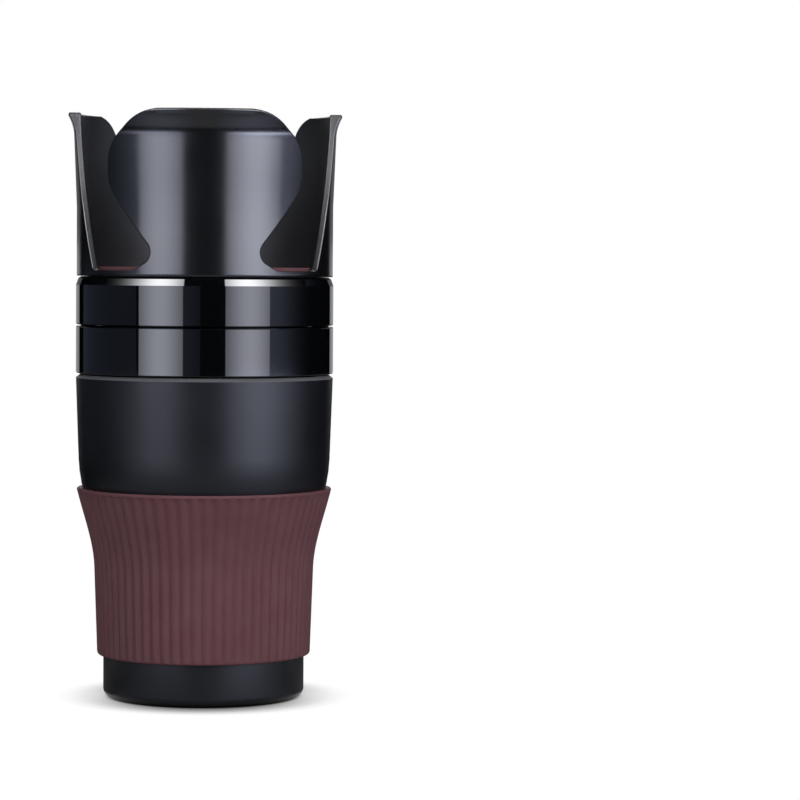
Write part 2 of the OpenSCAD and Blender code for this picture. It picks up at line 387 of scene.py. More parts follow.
def new_piece(name: str, mesh: Mesh) -> Piece:
    """Links a mesh to the scene as an object at the origin.

    Args:
        name: Name of the piece.
        mesh: Its mesh, in the CAD frame.

    Returns:
        The new object.
    """
    made = bpy.data.objects.new(name, mesh)
    bpy.context.scene.collection.objects.link(made)
    return made


def plain_mesh(shape: EditMesh, name: str) -> Mesh:
    """Turns an edit mesh into a plain one, and frees it.

    Args:
        shape: Edit mesh.
        name: Name of the plain mesh.

    Returns:
        The plain mesh.
    """
    mesh = bpy.data.meshes.new(name)
    shape.to_mesh(mesh)
    shape.free()
    return mesh


def shade(mesh: Mesh, sharp_deg: float) -> None:
    """Shades a mesh smooth, except at edges that turn by more than sharp_deg."""
    mesh.shade_smooth()
    mesh.set_sharp_from_angle(angle=math.radians(sharp_deg))


def smooth_copy(node: Piece, name: str, finish: Material, sharp_deg: float) -> Piece:
    """Copies a CAD node as one joined mesh, so that its light runs on over the facets.

    Args:
        node: CAD node.
        name: Name of the new piece.
        finish: Its material.
        sharp_deg: Angle from which an edge stays sharp.

    Returns:
        The new piece.
    """
    shape = bmesh.new()
    shape.from_mesh(node.data)
    bmesh.ops.remove_doubles(shape, verts=shape.verts[:], dist=WELD)
    mesh = plain_mesh(shape, name)
    for layer in [a for a in mesh.attributes if a.name == "custom_normal"]:
        mesh.attributes.remove(layer)
    mesh.materials.clear()
    mesh.materials.append(finish)
    shade(mesh, sharp_deg)
    return new_piece(name, mesh)


def polar(radius: float, turn: float, z: float) -> Space:
    """Place at a distance from the axis and a turn from straight ahead, in radians."""
    return radius * math.sin(turn), -radius * math.cos(turn), z


def unit(a: Point, b: Point) -> Point:
    """Direction from one flat point to another.

    Args:
        a: First point.
        b: Second point.

    Returns:
        Vector of length 1.
    """
    dx, dy = b[0] - a[0], b[1] - a[1]
    size = math.hypot(dx, dy)
    return dx / size, dy / size


def angle(u: Point, v: Point) -> float:
    """Angle between two flat directions, in radians."""
    return math.acos(max(-1.0, min(1.0, u[0] * v[0] + u[1] * v[1])))


def circle(radius: float, y: float, steps: int) -> list[Point]:
    """Points round a circle whose middle lies on the Y axis."""
    turns = [2 * math.pi * i / steps for i in range(steps)]
    return [(radius * math.sin(t), y + radius * math.cos(t)) for t in turns]


def arc(centre: Point, radius: float, start: float, end: float, steps: int) -> list[Point]:
    """Points of an arc, with its angles in degrees."""
    turns = [math.radians(start + (end - start) * i / steps) for i in range(steps + 1)]
    return [(centre[0] + radius * math.cos(t), centre[1] + radius * math.sin(t)) for t in turns]


def curve(a: Point, b: Point, c: Point, steps: int) -> list[Point]:
    """Curve that leaves a towards b and comes to c from there.

    Args:
        a: Its first point.
        b: Point that pulls it.
        c: Its last point.
        steps: Pieces of the curve.

    Returns:
        Points of the curve.
    """
    done = []
    for t in [k / steps for k in range(steps + 1)]:
        first, pull, last = (1 - t) ** 2, 2 * t * (1 - t), t * t
        done.append(tuple(first * a[n] + pull * b[n] + last * c[n] for n in (0, 1)))
    return done


def round_corner(a: Point, b: Point, c: Point, radius: float, steps: int) -> list[Point]:
    """Rounds the corner b between a and c.

    Args:
        a: Point before the corner.
        b: The corner.
        c: Point after it.
        radius: Radius of the rounding, or 0 for a sharp corner.
        steps: Pieces of the arc.

    Returns:
        Points that take the corner's place.
    """
    if radius <= 0:
        return [b]
    u, v = unit(b, a), unit(b, c)
    half = angle(u, v) / 2
    mid = unit((0, 0), (u[0] + v[0], u[1] + v[1]))
    centre = (b[0] + mid[0] * radius / math.sin(half), b[1] + mid[1] * radius / math.sin(half))
    start = (b[0] + u[0] * radius / math.tan(half), b[1] + u[1] * radius / math.tan(half))
    begin = math.degrees(math.atan2(start[1] - centre[1], start[0] - centre[0]))
    cross = u[0] * v[1] - u[1] * v[0]
    sweep = math.copysign(180 - 2 * math.degrees(half), cross)
    return arc(centre, radius, begin, begin - sweep, steps)


def rounded(corners: list[Space], steps: int = 12) -> list[Point]:
    """Outline through corners given as (across, up, rounding).

    Args:
        corners: Corners in order.
        steps: Pieces of each arc.

    Returns:
        Closed outline.
    """
    count = len(corners)
    points: list[Point] = []
    for i, (x, y, radius) in enumerate(corners):
        before, after = corners[i - 1], corners[(i + 1) % count]
        points += round_corner(before[:2], (x, y), after[:2], radius, steps)
    return points


def resample(points: list[Point], gap: float) -> list[Point]:
    """Splits the long stretches of an open line.

    Args:
        points: Line.
        gap: Longest stretch that stays whole.

    Returns:
        Line with points at most gap apart.
    """
    done = [points[0]]
    for a, b in zip(points, points[1:]):
        length = math.dist(a, b)
        if length < 1e-4:
            continue
        parts = max(1, math.ceil(length / gap))
        done += [
            (a[0] + (b[0] - a[0]) * k / parts, a[1] + (b[1] - a[1]) * k / parts)
            for k in range(1, parts + 1)
        ]
    return done


def inside(points: np.ndarray, loop: np.ndarray) -> np.ndarray:
    """Says which points lie inside a closed loop.

    Args:
        points: Points to test, one a row.
        loop: Corners of the loop, one a row.

    Returns:
        True for each point inside.
    """
    found = np.zeros(len(points), bool)
    for (x0, y0), (x1, y1) in zip(loop, np.roll(loop, -1, axis=0)):
        if y0 == y1:
            continue
        spans = (points[:, 1] >= min(y0, y1)) & (points[:, 1] < max(y0, y1))
        reach = x0 + (points[:, 1] - y0) * (x1 - x0) / (y1 - y0)
        found ^= spans & (points[:, 0] < reach)
    return found


def clearance(points: np.ndarray, loop: np.ndarray) -> np.ndarray:
    """Measures how far points lie from a closed loop's edges.

    Args:
        points: Points to measure, one a row.
        loop: Corners of the loop, one a row.

    Returns:
        Distance of each point.
    """
    best = np.full(len(points), np.inf)
    for a, b in zip(loop, np.roll(loop, -1, axis=0)):
        along = b - a
        size = float(along @ along)
        if size == 0:
            continue
        share = np.clip(((points - a) @ along) / size, 0, 1)[:, None]
        best = np.minimum(best, np.linalg.norm(points - a - share * along, axis=1))
    return best


def fill(
    loops: list[list[Point]], grid: list[Point] | None = None, margin: float = 0.0
) -> tuple[list[Point], list[tuple[int, ...]]]:
    """Fills a flat outline, less its holes, with triangles.

    Args:
        loops: Outline, and then each hole.
        grid: Points wanted between them.
        margin: Least distance of such a point from every loop.

    Returns:
        Points, the loops' own first and in order, and triangles.
    """
    flat = [np.array(loop) for loop in loops]
    spare = np.array(grid) if grid else np.zeros((0, 2))
    if len(spare):
        keep = inside(spare, flat[0]) & (clearance(spare, flat[0]) > margin)
        for hole in flat[1:]:
            keep &= ~inside(spare, hole) & (clearance(spare, hole) > margin)
        spare = spare[keep]
    points = [tuple(p) for loop in flat for p in loop] + [tuple(p) for p in spare]
    edges, first = [], 0
    for loop in loops:
        edges += [(first + i, first + (i + 1) % len(loop)) for i in range(len(loop))]
        first += len(loop)
    vectors = [Vector(p) for p in points]
    made, _, faces, origins, _, _ = delaunay_2d_cdt(vectors, edges, [], 0, 1e-7)
    back = {i: min(o) for i, o in enumerate(origins) if o}
    centres = np.array([np.mean([made[i][:] for i in f], axis=0) for f in faces])
    keep = inside(centres, flat[0])
    for hole in flat[1:]:
        keep &= ~inside(centres, hole)
    return points, [tuple(back[i] for i in f) for f, ok in zip(faces, keep) if ok]


# Sub-assemblies


@dataclass
class BaseCup:
    """Moulded cup with the stub that drops into the car's own cup well.

    Attributes:
        sharp_deg: Angle from which its edges stay sharp.
    """

    sharp_deg: float = 24.0

    def build(self, nodes: dict[str, Piece]) -> Piece:
        """Makes the cup from its CAD form.

        Args:
            nodes: CAD nodes by name.

        Returns:
            The cup.
        """
        finish = CUP_ABS.build()
        made = smooth_copy(nodes["base_cup"], "base_cup_shell", finish, self.sharp_deg)
        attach(made, "base")
        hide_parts("base_cup")
        return made


@dataclass
class GripSleeve:
    """Ribbed silicone sleeve, made by repeating one rib round the cup.

    Attributes:
        low: Height of its lower edge.
        high: Height of its upper edge.
        thickness: Thickness over a rib.
        rib_h: Height of a rib over the groove.
        rib_count: Ribs round the sleeve.
        band_h: Plain band under the upper edge.
        fade_h: Height under that band over which the grooves run out.
        edge_r: Rounding of the lower edge.
        rim_r: Rounding of the upper edge.
        rim_in: How far the side has moved in where that rounding starts.
        clear: Gap to the cup.
        phase_deg: Turn of the first rib from straight ahead.
        crest: How narrow a rib's crest is.
        foot_r: Radius of the cup's wall at its foot.
        foot_h: Height up to which it is straight.
        draft: How much it widens for each millimetre above that.
        swell_z: Height at which the cup starts to swell.
        swell_h: Height over which it swells.
        swell_out: How far it swells.
        columns: Pieces across one rib.
        rows: Pieces up the ribs.
        inner_rows: Pieces down the inside.
        sharp_deg: Angle from which its edges stay sharp.
    """

    low: float = 14.9
    high: float = 73.3
    thickness: float = 2.1
    rib_h: float = 0.7
    rib_count: int = 64
    band_h: float = 1.1
    fade_h: float = 0.6
    edge_r: float = 0.9
    rim_r: float = 0.35
    rim_in: float = 0.1
    clear: float = 0.05
    phase_deg: float = 1.4
    crest: float = 0.6
    foot_r: float = 35.2
    foot_h: float = 14.0
    draft: float = 0.035
    swell_z: float = 45.5
    swell_h: float = 37.5
    swell_out: float = 6.335
    columns: int = 8
    rows: int = 26
    inner_rows: int = 14
    sharp_deg: float = 50.0

    # Where the grooves run out: height over the band's lower edge, and share of their depth
    FADE: ClassVar[tuple[Point, ...]] = ((-0.2, 0.55), (0.0, 0.1), (0.12, 0.0))

    def cup_radius(self, z: float) -> float:
        """Outer radius of the cup's wall, which the sleeve hugs.

        Args:
            z: Height.

        Returns:
            Radius at that height.
        """
        if z <= self.foot_h:
            return self.foot_r
        t = min(max((z - self.swell_z) / self.swell_h, 0), 1)
        straight = self.foot_r + self.draft * (z - self.foot_h)
        return straight + self.swell_out * t * t * (3 - 2 * t)

    def section(self, across: float) -> list[Point]:
        """Closed section of the sleeve at a place across one rib.

        Args:
            across: From -0.5 in one groove, over the crest at 0, to 0.5 in the next.

        Returns:
            Points (radius, height), up the outside and down the inside.
        """
        groove = self.rib_h * (1 - (0.5 + 0.5 * math.cos(2 * math.pi * across)) ** self.crest)
        band_z, start = self.high - self.band_h, self.low + self.edge_r
        dips = []
        for k in range(EDGE_STEPS):
            t = math.radians(EDGE_DEG * k)
            dip = groove * math.sin(t) + self.edge_r * (1 - math.sin(t))
            dips.append((start - self.edge_r * math.cos(t), dip))
        ribbed = band_z - self.fade_h - start
        dips += [(start + ribbed * k / self.rows, groove) for k in range(self.rows + 1)]
        dips += [(band_z + over, groove * share) for over, share in self.FADE]
        points = [(self.cup_radius(z) + self.thickness - dip, z) for z, dip in dips]
        top_r = self.cup_radius(self.high) + self.thickness
        points += [(top_r - self.rim_in, self.high - self.rim_r), (top_r - self.rim_r, self.high)]
        for k in range(self.inner_rows + 1):
            z = self.high - (self.high - self.low) * k / self.inner_rows
            points.append((self.cup_radius(z) + self.clear, z))
        return points

    def rib(self) -> Mesh:
        """Makes the slice of the sleeve that holds one rib.

        Returns:
            Mesh of one slice, centred straight ahead.
        """
        shape, rows = bmesh.new(), []
        for across in [j / self.columns - 0.5 for j in range(self.columns + 1)]:
            turn = math.radians(360 * across / self.rib_count + self.phase_deg)
            places = [polar(r * MM, turn, z * MM) for r, z in self.section(across)]
            rows.append([shape.verts.new(place) for place in places])
        for left, right in zip(rows, rows[1:]):
            for k in range(len(left)):
                n = (k + 1) % len(left)
                shape.faces.new((left[k], right[k], right[n], left[n]))
        return plain_mesh(shape, "sleeve_rib")

    def tree(self) -> Tree:
        """Builds the nodes that repeat the rib round the sleeve.

        Returns:
            Geometry node tree with the inputs Rib Count and Finish.
        """
        tree = bpy.data.node_groups.new("RibbedSleeve", "GeometryNodeTree")
        for name, way, kind in (
            ("Rib", "INPUT", "NodeSocketGeometry"),
            ("Rib Count", "INPUT", "NodeSocketInt"),
            ("Finish", "INPUT", "NodeSocketMaterial"),
            ("Sleeve", "OUTPUT", "NodeSocketGeometry"),
        ):
            tree.interface.new_socket(name, in_out=way, socket_type=kind)
        given = add(tree, "NodeGroupInput").outputs
        rib, count, finish = given["Rib"], given["Rib Count"], given["Finish"]
        spots = add(tree, "GeometryNodeMeshLine", {"Offset": (0, 0, 0)}, {"Count": count})
        step = add(tree, "ShaderNodeMath", {0: math.tau}, {1: count}, operation="DIVIDE")
        index = add(tree, "GeometryNodeInputIndex")
        turn = add(tree, "ShaderNodeMath", links={0: index, 1: step}, operation="MULTIPLY")
        spin = add(tree, "ShaderNodeCombineXYZ", links={"Z": turn})
        wanted = {"Points": spots, "Instance": rib, "Rotation": spin}
        ribs = add(tree, "GeometryNodeInstanceOnPoints", links=wanted)
        real = add(tree, "GeometryNodeRealizeInstances", links={"Geometry": ribs})
        weld = {"Distance": WELD * 5}
        joined = add(tree, "GeometryNodeMergeByDistance", weld, {"Geometry": real})
        wanted = {"Geometry": joined, "Material": finish}
        dressed = add(tree, "GeometryNodeSetMaterial", links=wanted)
        add(tree, "NodeGroupOutput", links={"Sleeve": dressed})
        return tree

    def build(self) -> Piece:
        """Repeats the rib, bakes the result and puts it in place of the CAD sleeve.

        Returns:
            The sleeve.
        """
        source = new_piece("sleeve_source", self.rib())
        tree = self.tree()
        repeat = source.modifiers.new("ribs", "NODES")
        repeat.node_group = tree
        known = {s.name: s.identifier for s in tree.interface.items_tree}
        repeat[known["Rib Count"]] = self.rib_count
        repeat[known["Finish"]] = SLEEVE_SILICONE.build()
        graph = bpy.context.evaluated_depsgraph_get()
        mesh = bpy.data.meshes.new_from_object(source.evaluated_get(graph))
        source.modifiers.remove(repeat)
        bpy.data.objects.remove(source)
        shade(mesh, self.sharp_deg)
        made = new_piece("silicone_sleeve", mesh)
        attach(made, "base")
        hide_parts("grip_sleeve")
        return made


@dataclass
class SwingRings:
    """The two gloss rings that swing out on the pivot.

    Attributes:
        sharp_deg: Angle from which their edges stay sharp.
        rings: CAD node of each and the body that it rides on.
    """

    sharp_deg: float = 14.0
    rings: tuple[tuple[str, str], ...] = (
        ("lower_ring", "lower_ring_body"),
        ("upper_ring", "upper_ring_body"),
    )

    def build(self, nodes: dict[str, Piece]) -> list[Piece]:
        """Makes both rings from their CAD forms.

        Args:
            nodes: CAD nodes by name.

        Returns:
            The rings.
        """
        finish = RING_ABS.build()
        made = []
        for node, body in self.rings:
            ring = smooth_copy(nodes[node], f"{node}_gloss", finish, self.sharp_deg)
            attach(ring, body)
            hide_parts(node)
            made.append(ring)
        return made


@dataclass
class PetalHolder:
    """Holder moulded in one piece: a floor, and a wall cut into four petals.

    The wall is drawn flat, as (way round, height), and then bent round the axis. Its cut edges are
    rounded. Heights count from the underside.

    Attributes:
        base: Height of its underside above the ground.
        height: Height of the holder.
        outer_r: Radius of its straight lower wall.
        wall: Wall of the petals.
        floor: Floor.
        floor_corner_r: Rounding between floor and wall.
        lean_z: Height from which the wall leans out.
        lean_out: How far it leans out up to the lip.
        lip_h: Height of the flared lip.
        lip_out: How far the lip flares.
        lip_lead: How far below its own curve the lip takes the light.
        lip_even: Height under the tips from which it keeps the light of one place.
        kink_blur: Half the height over which the light turns under the lip.
        slope_far: Half the longest height over which a slope is measured.
        sill: Lowest height of the gaps.
        petal_turn: Turn of the front gaps' middle from straight ahead.
        side_turn: Turn of the side petals' rear edge.
        back_turn: Turn of the rear slots from straight behind.
        back_z: Lowest height of the rear slots.
        edge_r: Rounding of the cut edges.
        top_edge_r: The same on the tips.
        top_fade: Height over which one turns into the other.
        sill_fade: Height over the sill in which the outer rounding grows.
        bottom_edge: Rounding under the wall.
        gap: Longest piece of the outline.
        slack: How much shorter a straight piece may be.
        fine: Pieces in which the outline is looked at.
        soft_reach: Length on both sides of a corner that its rounding takes.
        corner_deg: Angle from which a corner is rounded.
        bend_deg: Turn after which the outline gets a new point.
        room_most: Largest disc that is tried in the outline.
        bottom_count: Pieces round the foot.
        hole_count: Pieces round the pivot's hole.
        pivot_y: Distance of the pivot behind the axis.
        hole_r: Radius of its hole.
        recess_r: Radius of the recess for its head.
        recess_d: Depth of that recess.
        recess_wall: Least floor between the recess and the wall.
        sharp_deg: Angle from which its edges stay sharp.
    """

    base: float = 147.3
    height: float = 56.7
    outer_r: float = 44.75
    wall: float = 2.2
    floor: float = 1.8
    floor_corner_r: float = 0.9
    lean_z: float = 24.0
    lean_out: float = 0.95
    lip_h: float = 8.4
    lip_out: float = 2.1
    lip_lead: float = 1.4
    lip_even: float = 3.0
    kink_blur: float = 1.8
    slope_far: float = 9.0
    sill: float = 2.0
    petal_turn: float = 38.0
    side_turn: float = 70.0
    back_turn: float = 34.5
    back_z: float = 28.0
    edge_r: float = 0.6
    top_edge_r: float = 0.9
    top_fade: float = 4.0
    sill_fade: float = 3.0
    bottom_edge: float = 0.15
    gap: float = 1.6
    slack: float = 0.3
    fine: float = 0.25
    soft_reach: float = 1.2
    corner_deg: float = 25.0
    bend_deg: float = 7.0
    room_most: float = 9.0
    bottom_count: int = 216
    hole_count: int = 48
    pivot_y: float = 37.6
    hole_r: float = 3.05
    recess_r: float = 4.5
    recess_d: float = 0.8
    recess_wall: float = 0.05
    sharp_deg: float = 32.0

    # Mesh attribute that holds where the skin faces
    FACING: ClassVar[str] = "facing"
    # Share of the outer rounding that the sill keeps, and of the height over the floor that the
    # inner one takes, with its least radius
    SILL_SHARE: ClassVar[float] = 0.4
    FLOOR_SHARE: ClassVar[float] = 0.6
    LEAST_EDGE: ClassVar[float] = 0.08
    # First rows of points over the foot, closest where the wall meets the floor
    FOOT_ROWS: ClassVar[tuple[float, ...]] = (0.25, 0.55, 1.0, 1.9, 3.2)

    @property
    def mid_r(self) -> float:
        """Radius at which the wall is drawn flat."""
        return self.outer_r - self.wall / 2

    @property
    def lip_z(self) -> float:
        """Height at which the lip starts."""
        return self.height - self.lip_h

    def outside(self, z: float) -> float:
        """Outer radius of the wall.

        Args:
            z: Height.

        Returns:
            Radius at that height.
        """
        if z <= self.lean_z:
            return self.outer_r
        if z <= self.lip_z:
            share = (z - self.lean_z) / (self.lip_z - self.lean_z)
            return self.outer_r + self.lean_out * share
        share = min((z - self.lip_z) / (self.lip_h - self.top_edge_r), 1.0)
        return self.outer_r + self.lean_out + self.lip_out * share**2

    def inside_r(self, z: float) -> float:
        """Inner radius of the wall.

        Args:
            z: Height.

        Returns:
            Radius at that height.
        """
        inner = self.outer_r - self.wall
        corner = self.floor + self.floor_corner_r
        if z < corner:
            dip = min(corner - z, self.floor_corner_r)
            return inner - self.floor_corner_r + math.sqrt(self.floor_corner_r**2 - dip**2)
        if z <= self.lean_z:
            return inner
        share = min((z - self.lean_z) / (self.lip_z - self.lean_z), 1.0)
        return inner + self.lean_out * share

    def around(self, turn: float, points: list[Point]) -> list[Point]:
        """Bends part of a straight cut's outline round the wall.

        Args:
            turn: Direction of the cut, in degrees from straight ahead.
            points: Outline as (across, up).

        Returns:
            Outline as (way round, height).
        """
        done = []
        for across, up in points:
            middle = (self.outside(up) + self.inside_r(max(up, self.lean_z))) / 2
            phi = math.radians(turn) - math.asin(max(-1.0, min(1.0, across / middle)))
            done.append((phi * self.mid_r, up))
        return done

    def below_top(self, points: list[Point]) -> list[Point]:
        """Keeps the stretch of an open outline that lies under the petals' tips.

        Args:
            points: Outline that starts and ends above the tips.

        Returns:
            Outline with its two ends on the tips' level.
        """
        top = self.height
        kept: list[Point] = []
        for a, b in zip(points, points[1:]):
            if (a[1] > top) != (b[1] > top):
                share = (top - a[1]) / (b[1] - a[1])
                kept.append((a[0] + (b[0] - a[0]) * share, top))
            if b[1] <= top:
                kept.append(b)
        return kept

    def half_outline(self) -> list[Point]:
        """Upper edge of the wall from straight ahead to straight behind.

        Returns:
            Outline as (way round, height), on the right-hand side.
        """
        high, sill, back_z = self.height, self.sill, self.back_z
        over = high + 6
        front = [(22.5, high + 0.2, 0), (7.6, high, 25), (-7.3, high - 12.4, 14)]
        front += [(-7.3, high - 26.2, 12), (12.1, sill + 5.2, 4.4), (3.7, sill, 3)]
        front += [(-16, sill, 0), (-16, over, 0), (22.5, over, 0)]
        side = [(14, over, 0), (14, sill, 0), (8.5, sill, 2), (-1.9, sill + 26, 80)]
        side += [(-10.4, over, 0)]
        back = [(26, over, 0), (26, high + 0.3, 0), (11.2, high, 11.5), (3.8, back_z, 4.5)]
        back += [(-6.4, back_z, 4.5), (-5, back_z + 10.7, 6), (3.6, high, 3.6)]
        back += [(-6, high + 0.3, 0), (-6, over, 0)]
        # The front gap's last three corners and the side's first two only close their loops
        cuts = (
            (self.petal_turn, rounded(front)[:-3]),
            (self.side_turn, rounded(side)[2:]),
            (180 - self.back_turn, rounded(back)),
        )
        line = [(0.0, high)]
        for turn, cut in cuts:
            line += self.below_top(self.around(turn, cut))
        return self.soften([*line, (math.pi * self.mid_r, high)])

    def soften(self, line: list[Point]) -> list[Point]:
        """Rounds what corners are left where a cut meets the tips' level.

        Args:
            line: Open outline.

        Returns:
            Outline without sharp corners.
        """
        clean = resample(line, self.fine)
        bends = [0.0]
        for a, b, c in zip(clean, clean[1:], clean[2:]):
            bends.append(math.degrees(angle(unit(a, b), unit(b, c))))
        reach = round(self.soft_reach / self.fine)
        done, i = [], 0
        while i < len(clean):
            near = range(i, min(i + reach + 1, len(bends)))
            ahead = next((k for k in near if bends[k] > self.corner_deg), None)
            if ahead is None or ahead + reach >= len(clean):
                done.append(clean[i])
                i += 1
                continue
            done += curve(clean[i], clean[ahead], clean[ahead + reach], 6)
            i = ahead + reach + 1
        return self.thin(done)

    def thin(self, line: list[Point]) -> list[Point]:
        """Drops points that a straight stretch doesn't need.

        Args:
            line: Finely divided outline.

        Returns:
            Outline with its points closest where it bends.
        """
        least = 0.12
        done, turned = [line[0]], 0.0
        for a, b, c in zip(line, line[1:], line[2:]):
            u, v = unit(a, b), unit(b, c)
            cross, dot = u[0] * v[1] - u[1] * v[0], u[0] * v[0] + u[1] * v[1]
            turned += abs(math.degrees(math.atan2(cross, dot)))
            far = math.dist(done[-1], b)
            if far > self.gap - self.slack or (turned > self.bend_deg and far > least):
                done.append(b)
                turned = 0.0
        return [*done, line[-1]]

    def outline(self) -> list[Point]:
        """Upper edge of the wall, from straight behind over straight ahead to behind again."""
        right = self.half_outline()
        return [(-x, y) for x, y in reversed(right)] + right[1:]

    def bend(self, way: float, z: float, depth: float) -> Space:
        """Puts a flat point on the wall.

        Args:
            way: Way round.
            z: Height.
            depth: 0 on the outside, 1 on the inside.

        Returns:
            Place in the CAD frame, in metres.
        """
        radius = self.outside(z) + (self.inside_r(z) - self.outside(z)) * depth
        return polar(radius * MM, way / self.mid_r, (self.base + z) * MM)

    def facing(self, way: float, z: float, outer: bool, lift: float, into: Point) -> Vector:
        """Direction that the moulding's skin faces at a point.

        Args:
            way: Way round.
            z: Height.
            outer: Whether the point is on the outer half of the wall.
            lift: 0 on the wall, 90 in the middle of the cut edge, in degrees.
            into: Flat direction from the cut edge into the material.

        Returns:
            Unit vector out of the moulding.
        """
        phi, reach = way / self.mid_r, self.outside if outer else self.inside_r
        # The slope is measured clear of the floor's corner, and over the kink under the lip at once
        clear = min(z - self.floor - self.floor_corner_r, self.lip_z - z)
        blur = self.kink_blur - 0.6 * abs(self.lip_z - z)
        step = max(min(0.9 * clear, self.slope_far), blur, 0.05)
        ahead = z + self.lip_lead * min(max(1 + (z - self.lip_z) / 2, 0), 1)
        at = max(z, min(ahead, self.height - self.lip_even))
        slope = (reach(at + step) - reach(at - step)) / (2 * step)
        out = Vector((math.sin(phi), -math.cos(phi), 0))
        along, up = Vector((math.cos(phi), math.sin(phi), 0)), out * slope + Vector((0, 0, 1))
        skin = (out - Vector((0, 0, slope))).normalized() * (1 if outer else -1)
        edge = -(into[0] * along + into[1] * up.normalized())
        turn = math.radians(lift)
        return (math.cos(turn) * skin + math.sin(turn) * edge).normalized()

    def room(self, line: list[Point], normals: list[Point]) -> list[float]:
        """Finds how far the outline can move in before it would cross itself.

        Args:
            line: Outline.
            normals: Direction into the material at each point.

        Returns:
            Radius of the largest disc that touches the outline there from inside, less a little.
        """
        share, growth = 0.85, 0.4
        places, into = np.array(line), np.array(normals)
        apart = places[None] - places[:, None]
        deep = 2 * np.einsum("ijk,ik->ij", apart, into)
        reach = np.full(deep.shape, self.room_most)
        np.divide((apart**2).sum(axis=2), deep, out=reach, where=deep > 1e-3)
        most = [float(m) for m in share * np.minimum(reach.min(axis=1), self.room_most)]
        for order in (range(1, len(line)), range(len(line) - 2, -1, -1)):
            for i in order:
                near = i - order.step
                most[i] = min(most[i], most[near] + growth * math.dist(line[i], line[near]))
        return most

    def edge_of(self, z: float, outer: bool) -> float:
        """Rounding of the cut edge at a height.

        Args:
            z: Height.
            outer: Whether it is the outer corner.

        Returns:
            Radius, which shrinks at the sill, where little wall is left inside.
        """
        grow = min(max((z - self.height + self.top_fade) / self.top_fade, 0), 1)
        radius = self.edge_r + (self.top_edge_r - self.edge_r) * grow
        if outer:
            rise = min(max((z - self.sill) / self.sill_fade, 0), 1)
            return radius * (self.SILL_SHARE + (1 - self.SILL_SHARE) * rise)
        return min(radius, max(self.LEAST_EDGE, (z - self.floor) * self.FLOOR_SHARE))

    def on_edge(
        self, spot: tuple[Point, Point, float], outer: bool, step: int
    ) -> tuple[Point, float]:
        """Point of the rounded cut edge.

        Args:
            spot: Point of the outline, direction from it into the material, and the most that
                the edge may be rounded there.
            outer: Whether it is on the outer corner.
            step: 0 on the wall, EDGE_STEPS in the middle of the cut edge.

        Returns:
            Flat point, and its depth in the wall: 0 outside, 1 inside.
        """
        (x, z), into, most = spot
        turn = math.radians(EDGE_DEG * step)
        radius = min(self.edge_of(z, outer), most)
        thick = self.outside(z) - self.inside_r(max(z, self.floor + 1))
        far, share = radius * (1 - math.sin(turn)), radius * (1 - math.cos(turn)) / thick
        return (x + into[0] * far, z + into[1] * far), share if outer else 1 - share

    def add_skin(
        self, shape: EditMesh, rim: list[Point], outer: bool
    ) -> tuple[list[Vert], list[Vert]]:
        """Adds one side of the wall, from the foot to where its cut edge starts to round.

        Args:
            shape: Mesh so far.
            rim: Upper edge of the side.
            outer: Whether it is the outside.

        Returns:
            Its points along the rim, and along the foot.
        """
        layer = shape.verts.layers.float_vector[self.FACING]
        half, count = math.pi * self.mid_r, self.bottom_count
        low = self.bottom_edge if outer else self.floor
        foot = [(half - 2 * half * i / count, low) for i in range(count + 1)]
        rise = resample([foot[-1], rim[0]], self.gap)[1:-1]
        drop = [(half, z) for _, z in reversed(rise)]
        rows = [low + over for over in self.FOOT_ROWS]
        while rows[-1] + self.gap < self.height:
            rows.append(rows[-1] + self.gap)
        grid = [
            (-half + 2 * half * (i + 0.5 * (k % 2)) / count, row)
            for k, row in enumerate(rows)
            for i in range(1, count)
        ]
        margin = 0.5 if outer else 0.22
        points, faces = fill([rim + drop + foot + rise], grid, margin)
        verts = []
        for x, z in points:
            vert = shape.verts.new(self.bend(x, z, 0.0 if outer else 1.0))
            if z > low:
                vert[layer] = self.facing(x, z, outer, 0, (0, 0))
            verts.append(vert)
        for f in faces:
            shape.faces.new([verts[i] for i in f]).material_index = 0 if outer else 1
        start = len(rim) + len(drop)
        return verts[: len(rim)], verts[start : start + len(foot)]

    def build_mesh(self) -> Mesh:
        """Makes the whole moulding.

        Returns:
            Closed mesh in the CAD frame.
        """
        top = self.outline()
        ends = zip([top[0], *top], [*top[1:], top[-1]])
        normals = [(y, -x) for x, y in (unit(a, c) for a, c in ends)]
        normals[0] = normals[-1] = (0.0, -1.0)
        spots = list(zip(top, normals, self.room(top, normals)))
        shape = bmesh.new()
        layer = shape.verts.layers.float_vector.new(self.FACING)
        rims = [[self.on_edge(s, outer, 0)[0] for s in spots] for outer in (True, False)]
        outer_rim, foot = self.add_skin(shape, rims[0], True)
        inner_rim, _ = self.add_skin(shape, rims[1], False)
        strips = [outer_rim]
        steps = range(1, EDGE_STEPS + 1)
        for outer, step in [(True, s) for s in steps] + [(False, s) for s in reversed(steps)]:
            strip = []
            for spot in spots:
                (x, z), depth = self.on_edge(spot, outer, step)
                vert = shape.verts.new(self.bend(x, z, depth))
                vert[layer] = self.facing(x, z, outer, EDGE_DEG * step, spot[1])
                strip.append(vert)
            strips.append(strip)
        strips.append(inner_rim)
        for order, (near, far) in enumerate(zip(strips, strips[1:])):
            for i in range(len(near) - 1):
                face = shape.faces.new((near[i], near[i + 1], far[i + 1], far[i]))
                face.material_index = 0 if order < EDGE_STEPS else 1
        self.add_floor(shape, foot)
        bmesh.ops.remove_doubles(shape, verts=shape.verts[:], dist=WELD)
        bmesh.ops.dissolve_degenerate(shape, edges=shape.edges[:], dist=WELD)
        bmesh.ops.recalc_face_normals(shape, faces=shape.faces[:])
        open_edges = sum(1 for e in shape.edges if not e.is_manifold)
        log.info("holder: %d faces, %d open edges", len(shape.faces), open_edges)
